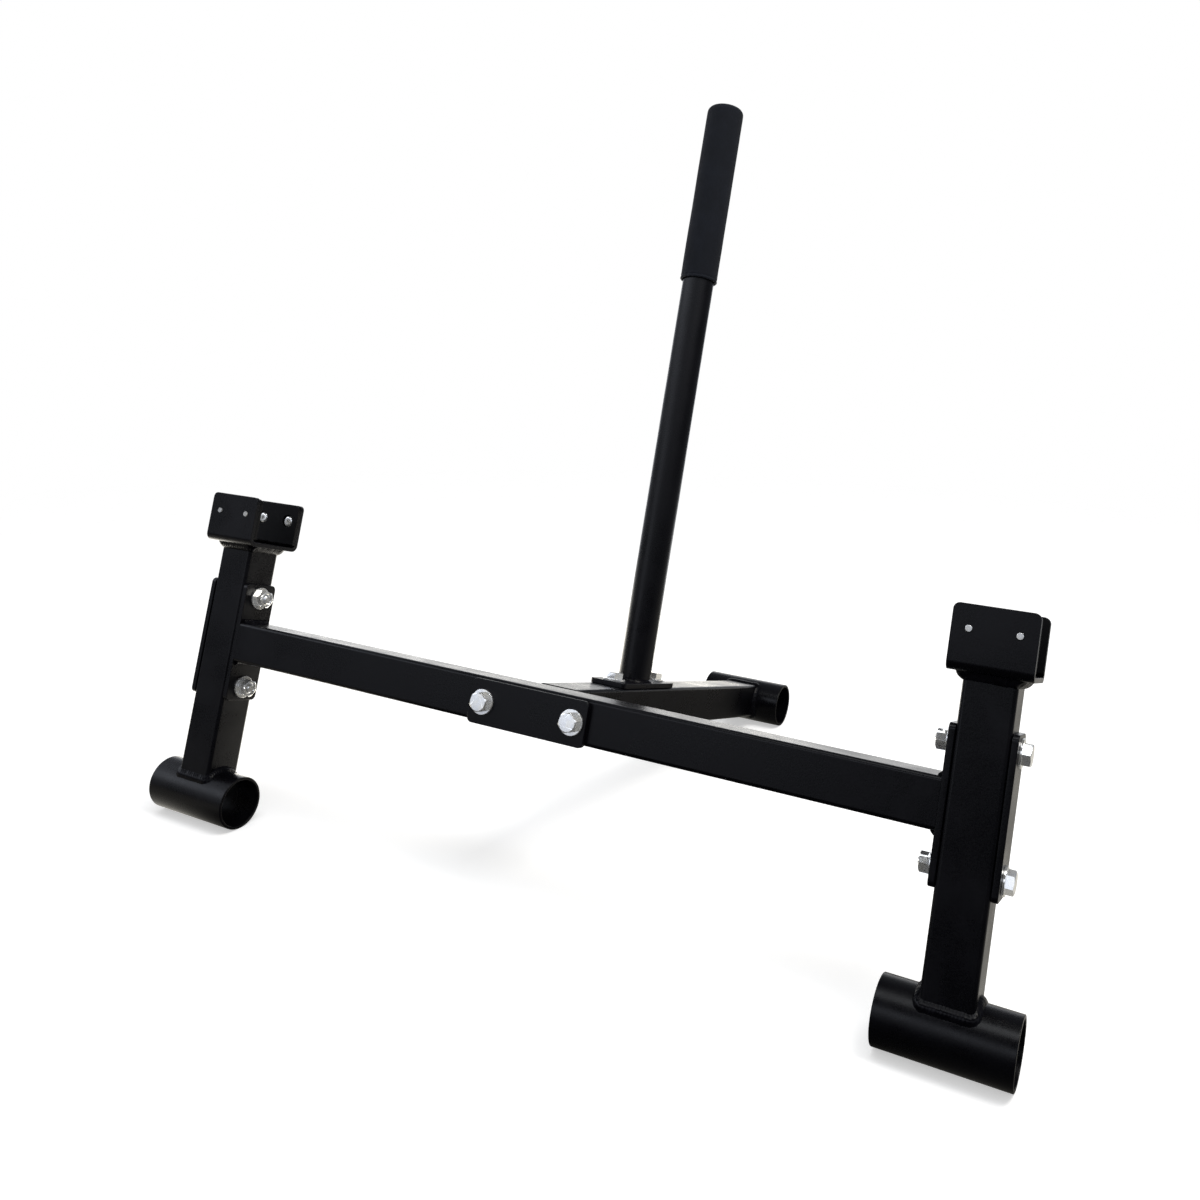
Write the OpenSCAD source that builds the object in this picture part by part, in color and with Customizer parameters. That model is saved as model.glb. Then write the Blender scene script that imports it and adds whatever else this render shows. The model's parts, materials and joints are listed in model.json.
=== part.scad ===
// Deadlift jack: a bolted frame of square steel tube that stands on three open round feet.
// Two U cradles take the sleeves of a loaded barbell, and a long handle rolls the whole
// frame over its two front feet, so that the bar and its plates lift clear of the floor.
//
// The pieces are drawn in the frame of the jack: X runs along the crossbeam, Y from the
// front feet to the rear foot and Z up the uprights, with the axis of the front feet at
// Y = 0, Z = 0. place() then sets the jack down on its three feet, leaning back.

/* [Square tube] */
// Width of the square tube
tube_w = 40; // [38:1:42]
// Wall of the square tube
tube_wall = 2; // [1.5:0.5:3]
// Outer corner radius of the square tube
tube_corner = 3.5; // [3.2:0.1:5]

/* [Frame] */
// Distance between the axes of the two uprights
upright_spacing = 760; // [600:10:900]
// Height of the underside of the cradles above the axis of the front feet
upright_h = 258.5; // [240:0.5:400]
// Height of the axis of the crossbeam above the axis of the front feet
beam_z = 160; // [110:5:165]
// Distance from the axis of the front feet back to the axis of the rear foot
rear_reach = 527; // [420:1:700]

/* [Feet] */
// Outer diameter of a foot tube
foot_d = 53; // [50:1:60]
// Wall of a foot tube
foot_wall = 3; // [2:0.5:5]
// Length of a foot tube
foot_len = 102; // [80:2:160]

/* [Cradles] */
// Clear width between the steel walls of a cradle
cradle_gap = 59; // [58:1:70]
// Thickness of the steel of a cradle
cradle_wall = 4; // [3:0.5:5]
// Length of a cradle along the bar
cradle_len = 62; // [56:1:90]
// Height of a cradle over its floor plate and walls
cradle_h = 49.5; // [46:0.5:70]
// Inner bend radius between the floor and a wall
cradle_bend = 3; // [1:0.5:4]
// Corner radius at the top of a cradle wall
cradle_corner = 5; // [2:0.5:8]

/* [Liners] */
// Thickness of a liner pad
liner_t = 4; // [3.5:0.5:6]
// Step of the pad below the top of the steel wall
liner_inset = 1; // [0.5:0.5:3]
// Distance between the two screws of a pad
liner_pitch = 36; // [24:1:40]
// Height of the screws above the underside of the cradle
liner_screw_z = 31.5; // [24:0.5:35]
// Diameter of the screw thread
screw_d = 5; // [4:0.5:6]
// Diameter of the flanged button head
screw_head_d = 11.8; // [8:0.1:13]
// Height of the button head
screw_head_h = 2.7; // [2:0.1:3]
// Width across the flats of the hexagon socket in the head
screw_socket = 3; // [2.5:0.5:4.5]
// Depth of the socket
screw_socket_depth = 1.6; // [1:0.2:1.8]
// Length of thread that stands out of the steel wall
screw_tip = 1; // [0.5:0.5:3]

/* [Joint plates] */
// Length of a joint plate
plate_len = 120; // [116:1:130]
// How far a joint plate stands out past each side of the tube that it lies on
plate_margin = 0; // [0:0.5:3]
// Thickness of a joint plate
plate_t = 5; // [4:0.5:8]
// Corner radius of a joint plate
plate_corner = 5; // [1:0.5:8]
// Distance of the two plates of the centre joint below the axis of the crossbeam
centre_drop = 2; // [0:0.5:4]

/* [Bolts] */
// Thread diameter of the frame bolts
bolt_d = 10; // [8:1:12]
// Distance between the two bolts of a joint
bolt_pitch = 92; // [88:1:94]
// Width across the flats of the bolt heads and nuts
hex_flats = 16; // [16:1:19]
// Height of a bolt head
bolt_head_h = 6.4; // [5.4:0.2:9]
// Height of a nut
nut_h = 8.4; // [6.8:0.2:12]
// Length of thread past a nut
bolt_tip = 1.2; // [1:0.2:8]
// Outer diameter of a washer
washer_d = 22.5; // [20:0.5:26]
// Thickness of a washer
washer_t = 2; // [1.5:0.5:3]
// Width that is turned off the corners of the heads and nuts
hex_chamfer = 1.2; // [0.6:0.1:1.6]
// Chamfer at the end of a bolt
thread_chamfer = 1; // [0.5:0.1:1.5]

/* [Welds] */
// Leg of the weld round a cradle and its upright
cradle_weld_leg = 6.5; // [3:0.5:6.5]
// Width, along the foot's surface, of the weld round a tube that is cut to a foot
foot_weld_w = 5; // [3:0.5:6]
// Height of that weld above the foot
foot_weld_h = 4; // [2:0.5:5]
// Leg of the welds on the beam end plates
plate_weld_leg = 4; // [2:0.5:5]
// Leg of the weld round the handle tube
handle_weld_leg = 3.3; // [2:0.1:6]

/* [Handle] */
// Distance from the axis of the front feet back to the axis of the handle
handle_reach = 180; // [140:5:300]
// Diameter of the handle tube
handle_d = 33.4; // [28:0.1:34]
// Wall of the handle tube
handle_wall = 2; // [1.5:0.5:4]
// Height of the top of the grip above the axis of the front feet
handle_top = 806; // [600:2:1100]
// Length of the grip
grip_len = 193; // [120:1:300]
// Wall of the grip
grip_wall = 2.7; // [2:0.1:6]
// Thickness of the closed top of the grip
grip_cap = 5; // [3:0.5:10]
// Rounding of the top edge of the grip
grip_round = 6; // [2:0.5:8]
// Radius of the rolled rim at the bottom of the grip
grip_rim = 1.6; // [1:0.1:2]
// Distance that the rim stands out of the grip
grip_rim_out = 0.3; // [0.2:0.1:1]

/* [Fits] */
// Radial clearance of a bolt in its hole
bolt_gap = 0.5; // [0.3:0.1:1]
// Radial clearance of a thread in its nut or tapped wall
thread_gap = 0.2; // [0.1:0.1:0.3]
// Radial clearance of a screw head in its counterbore
head_gap = 0.75; // [0.3:0.05:1]
// Clearance between a tube end that is cut to a foot and the foot
seat_gap = 0.2; // [0.1:0.1:0.4]
// Radial clearance between the grip and the handle tube
grip_gap = 0.2; // [0.1:0.1:0.4]
// Depth of the head under the face of its liner pad
head_inset = 0.3; // [0.1:0.1:0.5]

/* [Hidden] */
$fn = 64;

foot_r = foot_d / 2;
tube_r = tube_w / 2;
upright_x = upright_spacing / 2;
// Standing on its three feet, the jack leans back by the slope from foot to foot.
lean = atan(beam_z / rear_reach);
stance = sqrt(beam_z * beam_z + rear_reach * rear_reach);

plate_w = tube_w + 2 * plate_margin;
// Outer face of a joint plate, from the axis of the tube that it lies on
plate_face = tube_r + plate_t;
beam_len = upright_spacing - 2 * plate_face;
handle_seat_z = beam_z + tube_r + plate_t;
tube_top_z = handle_top - grip_cap;
cradle_w = cradle_gap + 2 * cradle_wall;
cradle_outer_bend = cradle_bend + cradle_wall;
cradle_floor_z = upright_h + cradle_wall;
liner_bottom = cradle_floor_z + cradle_bend;
liner_h = upright_h + cradle_h - liner_inset - liner_bottom;

bolt_hole_d = bolt_d + 2 * bolt_gap;
nut_hole_d = bolt_d + 2 * thread_gap;
screw_hole_d = screw_d + 2 * thread_gap;
counterbore_d = screw_head_d + 2 * head_gap;
counterbore_depth = screw_head_h + head_inset;
// Clamped lengths: two plates and a tube, and one plate and a tube at the handle
frame_clamp = tube_w + 2 * plate_t;
handle_clamp = tube_w + plate_t;
// How far a cutting shape runs past the face that it cuts
cut = 1;

powder_coat = [0.12, 0.12, 0.13];
zinc = [0.80, 0.81, 0.83];
plastic = [0.05, 0.05, 0.05];
foam = [0.07, 0.07, 0.09];

// Placing

// Sets the jack down on its feet, with the origin on the floor at the centre of its stance.
module place() {
  translate([0, -stance / 2, foot_r])
    rotate([-lean, 0, 0])
      children();
}

// A piece of the right-hand side, drawn about the axis of its upright with +X outward.
module right_side() {
  place() translate([upright_x, 0, 0]) children();
}

module left_side() {
  place() mirror([1, 0, 0]) translate([upright_x, 0, 0]) children();
}

// A joint is drawn about the middle of what it clamps, with the heads at +Z and the two
// bolts along X. These three modules turn it to its place on the jack.
module upright_joint() {
  translate([0, 0, beam_z]) rotate([0, 90, 0]) children();
}

module centre_joint() {
  translate([0, 0, beam_z - centre_drop]) rotate([90, 0, 0]) children();
}

module handle_joint() {
  translate([0, handle_reach, handle_seat_z - handle_clamp / 2]) rotate([0, 0, 90]) children();
}

module at_bolts() {
  for (side = [-1, 1]) translate([side * bolt_pitch / 2, 0, 0]) children();
}

// The two screws of a liner pad, seen from the middle of the cradle along +Y
module at_liner_screws() {
  for (side = [-1, 1])
    translate([side * liner_pitch / 2, 0, upright_h + liner_screw_z]) rotate([-90, 0, 0]) children();
}

// Outlines

module rounded_square(width, depth, radius) {
  square([width, depth - 2 * radius], center = true);
  square([width - 2 * radius, depth], center = true);
  for (x = [-1, 1], y = [-1, 1])
    translate([x * (width / 2 - radius), y * (depth / 2 - radius)]) circle(radius);
}

// A rectangle that stands on Y = 0, with its two lower corners rounded
module u_outline(width, height, radius) {
  translate([-width / 2, radius]) square([width, height - radius]);
  translate([radius - width / 2, 0]) square([width - 2 * radius, height / 2]);
  for (side = [-1, 1]) translate([side * (width / 2 - radius), radius]) circle(radius);
}

module weld_triangle(leg) {
  polygon([[0, 0], [leg, 0], [0, leg]]);
}

module hexagon(flats) {
  circle(d = flats / cos(30), $fn = 6);
}

// Stock shapes

module square_bar(length) {
  linear_extrude(length) rounded_square(tube_w, tube_w, tube_corner);
}

module square_tube(length) {
  difference() {
    square_bar(length);
    translate([0, 0, -cut])
      linear_extrude(length + 2 * cut)
        rounded_square(tube_w - 2 * tube_wall, tube_w - 2 * tube_wall, tube_corner - tube_wall);
  }
}

// A rod along X through the middle of a foot
module foot_rod(radius, length) {
  rotate([0, 90, 0]) cylinder(r = radius, h = length, center = true);
}

module foot_tube() {
  color(powder_coat) difference() {
    foot_rod(foot_r, foot_len);
    foot_rod(foot_r - foot_wall, foot_len + 2 * cut);
  }
}

// A weld that lies on a foot all round the tube that stands on it
module foot_weld() {
  weld_w = tube_w + 2 * foot_weld_w;
  weld_depth = 2 * foot_r * sin(asin(tube_r / foot_r) + foot_weld_w / foot_r * 180 / PI);
  weld_corner = tube_corner + foot_weld_w;
  color(powder_coat) difference() {
    intersection() {
      linear_extrude(foot_r + foot_weld_h + cut) rounded_square(weld_w, weld_depth, weld_corner);
      foot_rod(foot_r + foot_weld_h, weld_w);
    }
    square_bar(foot_r + foot_weld_h + 2 * cut);
    foot_rod(foot_r, weld_w + 2 * cut);
  }
}

// Bolted joints

// A joint plate lies on Z = 0 and below, with its thickness down.
module joint_plate() {
  color(powder_coat) difference() {
    translate([0, 0, -plate_t]) linear_extrude(plate_t) rounded_square(plate_len, plate_w, plate_corner);
    at_bolts() translate([0, 0, -plate_t - cut]) cylinder(d = bolt_hole_d, h = plate_t + 2 * cut);
  }
}

module top_plate(clamp) {
  translate([0, 0, clamp / 2]) joint_plate();
}

module bottom_plate(clamp) {
  translate([0, 0, plate_t - clamp / 2]) joint_plate();
}

module washer() {
  difference() {
    cylinder(d = washer_d, h = washer_t);
    translate([0, 0, -cut]) cylinder(d = bolt_hole_d, h = washer_t + 2 * cut);
  }
}

// A hexagon on Z = 0 whose corners are turned off at the top, and below too on a nut
module hex_body(height, both_ends) {
  corner_r = hex_flats / 2 / cos(30);
  foot_cut = both_ends ? hex_chamfer : 0;
  intersection() {
    linear_extrude(height) hexagon(hex_flats);
    rotate_extrude() polygon([
      [0, 0],
      [corner_r - foot_cut, 0],
      [corner_r + cut, (foot_cut + cut) * tan(30)],
      [corner_r + cut, height - (hex_chamfer + cut) * tan(30)],
      [corner_r - hex_chamfer, height],
      [0, height]
    ]);
  }
}

module bolt(length) {
  hex_body(bolt_head_h, false);
  translate([0, 0, thread_chamfer - length]) cylinder(d = bolt_d, h = length - thread_chamfer);
  translate([0, 0, -length])
    cylinder(d1 = bolt_d - 2 * thread_chamfer, d2 = bolt_d, h = thread_chamfer);
}

module joint_bolts(clamp) {
  length = clamp + 2 * washer_t + nut_h + bolt_tip;
  color(zinc) at_bolts() translate([0, 0, clamp / 2 + washer_t]) bolt(length);
}

module joint_washers(clamp) {
  color(zinc) at_bolts() {
    translate([0, 0, clamp / 2]) washer();
    translate([0, 0, -clamp / 2 - washer_t]) washer();
  }
}

module joint_nuts(clamp) {
  color(zinc) at_bolts() translate([0, 0, -clamp / 2 - washer_t - nut_h]) difference() {
    hex_body(nut_h, true);
    translate([0, 0, -cut]) cylinder(d = nut_hole_d, h = nut_h + 2 * cut);
  }
}

module joint_holes(depth) {
  at_bolts() cylinder(d = bolt_hole_d, h = depth, center = true);
}

// Centre of the frame

module crossbeam() {
  color(powder_coat) difference() {
    translate([-beam_len / 2, 0, beam_z]) rotate([0, 90, 0]) square_tube(beam_len);
    centre_joint() joint_holes(tube_w + 2 * cut);
  }
}

module front_clamp_plate() {
  centre_joint() top_plate(frame_clamp);
}

module rear_beam_end_plate() {
  centre_joint() bottom_plate(frame_clamp);
}

// Two upright welds in the corners between the end plate and the sides of the rear beam
module rear_beam_end_weld() {
  weld_h = plate_w - 2 * plate_corner;
  color(powder_coat)
    for (side = [0, 1])
      mirror([side, 0, 0])
        translate([tube_r, plate_face, beam_z - centre_drop - weld_h / 2])
          linear_extrude(weld_h) weld_triangle(plate_weld_leg);
}

module rear_beam() {
  color(powder_coat) difference() {
    translate([0, plate_face, beam_z])
      rotate([-90, 0, 0]) square_tube(rear_reach - plate_face);
    translate([0, rear_reach, beam_z]) foot_rod(foot_r + seat_gap, tube_w + 2 * cut);
    handle_joint() joint_holes(2 * tube_w);
  }
}

module at_rear_foot() {
  translate([0, rear_reach, beam_z]) rotate([90, 0, 0]) children();
}

// Handle

module handle_base_plate() {
  handle_joint() top_plate(handle_clamp);
}

module handle_tube() {
  color(powder_coat) translate([0, handle_reach, handle_seat_z]) difference() {
    cylinder(d = handle_d, h = tube_top_z - handle_seat_z);
    translate([0, 0, -cut])
      cylinder(d = handle_d - 2 * handle_wall, h = tube_top_z - handle_seat_z + 2 * cut);
  }
}

module handle_weld() {
  color(powder_coat) translate([0, handle_reach, handle_seat_z])
    rotate_extrude() translate([handle_d / 2, 0]) weld_triangle(handle_weld_leg);
}

module grip_outline() {
  grip_r = handle_d / 2 + grip_gap + grip_wall;
  difference() {
    union() {
      square([grip_r, grip_len - grip_round]);
      square([grip_r - grip_round, grip_len]);
      translate([grip_r - grip_round, grip_len - grip_round]) circle(grip_round);
      translate([grip_r + grip_rim_out - grip_rim, grip_rim]) circle(grip_rim);
    }
    translate([-cut, -cut])
      square([cut + handle_d / 2 + grip_gap, cut + grip_len - grip_cap + grip_gap]);
    translate([-grip_r, -cut]) square([grip_r, grip_len + 2 * cut]);
  }
}

module handle_grip() {
  color(foam) translate([0, handle_reach, handle_top - grip_len]) rotate_extrude() grip_outline();
}

// Sides

module upright() {
  color(powder_coat) difference() {
    square_tube(upright_h);
    foot_rod(foot_r + seat_gap, tube_w + 2 * cut);
    upright_joint() joint_holes(tube_w + 2 * cut);
  }
}

// Two welds across the end plate, over and under the crossbeam
module beam_end_weld() {
  weld_w = tube_w - 2 * tube_corner;
  color(powder_coat)
    for (side = [0, 1])
      translate([-plate_face, -weld_w / 2, beam_z])
        mirror([0, 0, side])
          translate([0, weld_w, tube_r])
            rotate([90, 0, 0]) mirror([1, 0, 0]) linear_extrude(weld_w) weld_triangle(plate_weld_leg);
}

// Cradles

module cradle_bracket() {
  color(powder_coat) difference() {
    intersection() {
      translate([0, 0, upright_h])
        rotate([90, 0, 90]) linear_extrude(cradle_len, center = true) difference() {
          u_outline(cradle_w, cradle_h, cradle_outer_bend);
          translate([0, cradle_wall]) u_outline(cradle_gap, cradle_h, cradle_bend);
        }
      translate([0, 0, upright_h + cradle_h])
        rotate([90, 180, 0])
          linear_extrude(cradle_w + 2 * cut, center = true)
            u_outline(cradle_len, cradle_h, cradle_corner);
    }
    at_liner_screws() cylinder(d = screw_hole_d, h = cradle_w + 2 * cut, center = true);
  }
}

// One straight side of the weld and one of its corners, four times round the upright
module cradle_weld() {
  straight = tube_w - 2 * tube_corner;
  color(powder_coat) translate([0, 0, upright_h]) mirror([0, 0, 1])
    for (turn = [0 : 90 : 270]) rotate([0, 0, turn]) {
      translate([tube_r, straight / 2, 0])
        rotate([90, 0, 0]) linear_extrude(straight) weld_triangle(cradle_weld_leg);
      translate([straight / 2, straight / 2, 0])
        rotate_extrude(angle = 90) translate([tube_corner, 0]) weld_triangle(cradle_weld_leg);
    }
}

// The pad on the +Y wall, with a counterbore for each screw head
module liner_pad() {
  face_y = cradle_gap / 2 - liner_t;
  color(plastic) difference() {
    translate([0, cradle_gap / 2, liner_bottom + liner_h])
      rotate([90, 180, 0]) linear_extrude(liner_t) u_outline(cradle_len, liner_h, cradle_corner);
    at_liner_screws() {
      cylinder(d = screw_hole_d, h = cradle_w);
      translate([0, 0, face_y - cut]) cylinder(d = counterbore_d, h = cut + counterbore_depth);
    }
  }
}

module front_liner() {
  mirror([0, 1, 0]) liner_pad();
}

module liner_screw() {
  face_y = cradle_gap / 2 - liner_t;
  seat_y = face_y + counterbore_depth;
  difference() {
    union() {
      translate([0, 0, seat_y]) cylinder(d = screw_d, h = cradle_w / 2 + screw_tip - seat_y);
      translate([0, 0, seat_y - screw_head_h]) rotate_extrude() intersection() {
        union() {
          translate([screw_head_d / 2 - screw_head_h, screw_head_h]) circle(screw_head_h);
          square([screw_head_d / 2 - screw_head_h, screw_head_h]);
        }
        square([screw_head_d / 2, screw_head_h]);
      }
    }
    translate([0, 0, seat_y - screw_head_h - cut])
      linear_extrude(cut + screw_socket_depth) hexagon(screw_socket);
  }
}

module liner_screws() {
  color(zinc)
    for (wall = [0, 1]) mirror([0, wall, 0]) at_liner_screws() liner_screw();
}

place() crossbeam();
place() front_clamp_plate();
place() rear_beam_end_plate();
place() rear_beam_end_weld();
place() rear_beam();
place() at_rear_foot() foot_tube();  // rear_foot_tube
place() at_rear_foot() foot_weld();  // rear_foot_weld
place() centre_joint() joint_bolts(frame_clamp);  // centre_bolts
place() centre_joint() joint_washers(frame_clamp);  // centre_washers
place() centre_joint() joint_nuts(frame_clamp);  // centre_nuts
place() handle_base_plate();
place() handle_tube();
place() handle_weld();
place() handle_grip();
place() handle_joint() joint_bolts(handle_clamp);  // handle_bolts
place() handle_joint() joint_washers(handle_clamp);  // handle_washers
place() handle_joint() joint_nuts(handle_clamp);  // handle_nuts
left_side() upright();  // left_upright
left_side() foot_tube();  // left_foot_tube
left_side() foot_weld();  // left_foot_weld
left_side() upright_joint() bottom_plate(frame_clamp);  // left_beam_end_plate
left_side() beam_end_weld();  // left_beam_end_weld
left_side() upright_joint() top_plate(frame_clamp);  // left_outer_plate
left_side() upright_joint() joint_bolts(frame_clamp);  // left_upright_bolts
left_side() upright_joint() joint_washers(frame_clamp);  // left_upright_washers
left_side() upright_joint() joint_nuts(frame_clamp);  // left_upright_nuts
left_side() cradle_bracket();  // left_cradle_bracket
left_side() cradle_weld();  // left_cradle_weld
left_side() front_liner();  // left_cradle_front_liner
left_side() liner_pad();  // left_cradle_rear_liner
left_side() liner_screws();  // left_liner_screws
right_side() upright();  // right_upright
right_side() foot_tube();  // right_foot_tube
right_side() foot_weld();  // right_foot_weld
right_side() upright_joint() bottom_plate(frame_clamp);  // right_beam_end_plate
right_side() beam_end_weld();  // right_beam_end_weld
right_side() upright_joint() top_plate(frame_clamp);  // right_outer_plate
right_side() upright_joint() joint_bolts(frame_clamp);  // right_upright_bolts
right_side() upright_joint() joint_washers(frame_clamp);  // right_upright_washers
right_side() upright_joint() joint_nuts(frame_clamp);  // right_upright_nuts
right_side() cradle_bracket();  // right_cradle_bracket
right_side() cradle_weld();  // right_cradle_weld
right_side() front_liner();  // right_cradle_front_liner
right_side() liner_pad();  // right_cradle_rear_liner
right_side() liner_screws();  // right_liner_screws
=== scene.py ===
"""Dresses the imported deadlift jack: rounded steel, weld beads, threaded bolts, a foam grip,
their finishes, and a plain studio round them. Lengths are in metres."""

import json
import math
import random

import bpy
from bpy.props import FloatProperty, FloatVectorProperty, PointerProperty
from mathutils import Matrix, Vector


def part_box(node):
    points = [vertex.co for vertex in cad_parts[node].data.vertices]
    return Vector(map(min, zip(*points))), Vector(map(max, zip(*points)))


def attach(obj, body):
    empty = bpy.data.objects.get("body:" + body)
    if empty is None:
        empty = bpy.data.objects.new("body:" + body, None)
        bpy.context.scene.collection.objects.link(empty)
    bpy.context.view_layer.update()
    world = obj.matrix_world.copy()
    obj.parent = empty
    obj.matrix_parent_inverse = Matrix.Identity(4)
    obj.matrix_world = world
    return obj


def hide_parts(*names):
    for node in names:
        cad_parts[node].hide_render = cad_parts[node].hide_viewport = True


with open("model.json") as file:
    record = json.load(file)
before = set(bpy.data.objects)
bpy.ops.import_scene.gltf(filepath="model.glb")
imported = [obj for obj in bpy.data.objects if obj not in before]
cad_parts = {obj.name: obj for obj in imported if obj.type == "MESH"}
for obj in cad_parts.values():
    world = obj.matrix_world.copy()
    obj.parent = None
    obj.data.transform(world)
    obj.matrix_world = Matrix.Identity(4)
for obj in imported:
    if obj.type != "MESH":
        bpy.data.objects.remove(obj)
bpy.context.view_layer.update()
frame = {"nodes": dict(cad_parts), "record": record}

bl_info = {
    "name": "Deadlift jack",
    "version": (1, 0, 0),
    "blender": (4, 5, 0),
    "location": "3D View > Sidebar > Jack",
    "description": "Models the visible pieces and finishes of a deadlift jack",
    "category": "Object",
}

BODY = "root"
MM = 0.001
MOUNTS = {mount["name"]: mount for mount in frame["record"]["mounts"]}
FOOT_AXIS = Vector(MOUNTS["right_foot_bore"]["pos_m"])
REAR_AXIS = Vector(MOUNTS["rear_foot_bore"]["pos_m"])
UPRIGHT_DIRECTION = Vector(MOUNTS["right_cradle_floor"]["axis"])
LEAN = math.atan2(UPRIGHT_DIRECTION.y, UPRIGHT_DIRECTION.z)
STANCE = REAR_AXIS.y - FOOT_AXIS.y
# The jack's own frame has X along the crossbeam, Z up the uprights and its origin on the
# axis of the front feet. This matrix stands it on the floor.
STANDING = Matrix.Translation((0, FOOT_AXIS.y, FOOT_AXIS.z)) @ Matrix.Rotation(-LEAN, 4, "X")
UPRIGHT_X = FOOT_AXIS.x
BEAM_Z = STANCE * math.sin(LEAN)
REAR_REACH = STANCE * math.cos(LEAN)
FOOT_RADIUS = FOOT_AXIS.z
# How far a piece may reach past its CAD node, or fall short of it
NODE_FIT = 2 * MM
# Points nearer than this are one point.
MERGE = 0.002 * MM


# Settings


def number(name, description, default, unit="NONE"):
    return FloatProperty(name=name, description=description, default=default, unit=unit)


def length(name, description, default):
    return FloatProperty(
        name=name, description=description, default=default,
        subtype="DISTANCE", unit="LENGTH", precision=5,
    )


def colour(name, description, default):
    return FloatVectorProperty(
        name=name, description=description, default=default,
        subtype="COLOR", size=3, min=0, max=1,
    )


def share(name, description, default):
    return FloatProperty(
        name=name, description=description, default=default, min=0, max=1, subtype="FACTOR"
    )


class JackSizes(bpy.types.PropertyGroup):
    """Sizes that the modelled pieces take from the jack"""

    tube_width: length("Tube width", "Outer width of the square tube", 40 * MM)
    tube_corner: length("Tube corner", "Outer corner radius of the square tube", 3.5 * MM)
    upright_height: length(
        "Upright height", "Underside of the cradles above the front feet's axis", 258.5 * MM
    )
    plate_thickness: length("Plate thickness", "Thickness of a joint plate", 5 * MM)
    centre_drop: length("Centre drop", "Centre joint below the crossbeam's axis", 2 * MM)
    bolt_diameter: length("Bolt diameter", "Outer diameter of the thread", 10 * MM)
    bolt_pitch: length("Bolt spacing", "Distance between a joint's two bolts", 92 * MM)
    hex_flats: length("Hexagon", "Width of a bolt head across its flats", 16 * MM)
    head_height: length("Head height", "Height of a bolt head", 6.4 * MM)
    nut_height: length("Nut height", "Height of a nut", 8.4 * MM)
    bolt_tip: length("Bolt tip", "Thread that shows past a nut", 1.2 * MM)
    bolt_chamfer: length("Bolt chamfer", "Chamfer at the end of a bolt", 1.5 * MM)
    nut_countersink: length("Nut countersink", "Countersink of a nut's bore", 0.8 * MM)
    hex_face: share("Hexagon face", "Width of a hexagon's round face over its flats", 0.955)
    washer_thickness: length("Washer", "Thickness of a washer", 2 * MM)
    thread_pitch: length("Thread pitch", "Rise of one turn of the thread", 1.5 * MM)
    thread_depth: length("Thread depth", "Depth of the thread's groove", 0.85 * MM)
    cradle_leg: length("Cradle weld", "Leg of the weld under a cradle", 6.5 * MM)
    foot_leg: length("Foot weld", "Width of the weld along a foot", 4.8 * MM)
    plate_leg: length("Plate weld", "Leg of the welds on the end plates", 4 * MM)
    handle_leg: length("Handle weld", "Leg of the weld round the handle", 3.3 * MM)
    handle_reach: length("Handle reach", "Handle behind the front feet's axis", 180 * MM)
    handle_diameter: length("Handle diameter", "Outer diameter of the handle tube", 33.4 * MM)
    handle_top: length("Handle top", "Top of the grip above the front feet's axis", 806 * MM)
    grip_length: length("Grip length", "Length of the foam grip", 193 * MM)
    grip_wall: length("Grip wall", "Thickness of the foam and its fit", 2.9 * MM)
    grip_rounding: length("Grip rounding", "Rounding of the grip's top edge", 6 * MM)
    grip_rim: length("Grip rim", "How far the rolled rim stands out", 0.3 * MM)
    steel_edge: length("Steel edge", "Rounding of the edges of plates and tube ends", 0.7 * MM)
    fastener_edge: length("Fastener edge", "Rounding of washers, nuts and screws", 0.25 * MM)
    ripple: length("Weld ripple", "Distance from ripple to ripple of a bead", 2.6 * MM)


class JackFinishes(bpy.types.PropertyGroup):
    """Colours and gloss of the four finishes"""

    coat: colour("Powder coat", "Colour of the powder coat", (0.0015, 0.0014, 0.0023))
    coat_roughness: share("Coat roughness", "Mean roughness of the powder coat", 0.30)
    zinc: colour("Zinc", "Colour of the zinc plate", (0.94, 0.94, 0.93))
    zinc_roughness: share("Zinc roughness", "Mean roughness of the zinc plate", 0.12)
    liner: colour("Liner", "Colour of the liner pads", (0.0018, 0.0018, 0.0021))
    foam: colour("Foam", "Colour of the foam grip", (0.0042, 0.0056, 0.0098))


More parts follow.
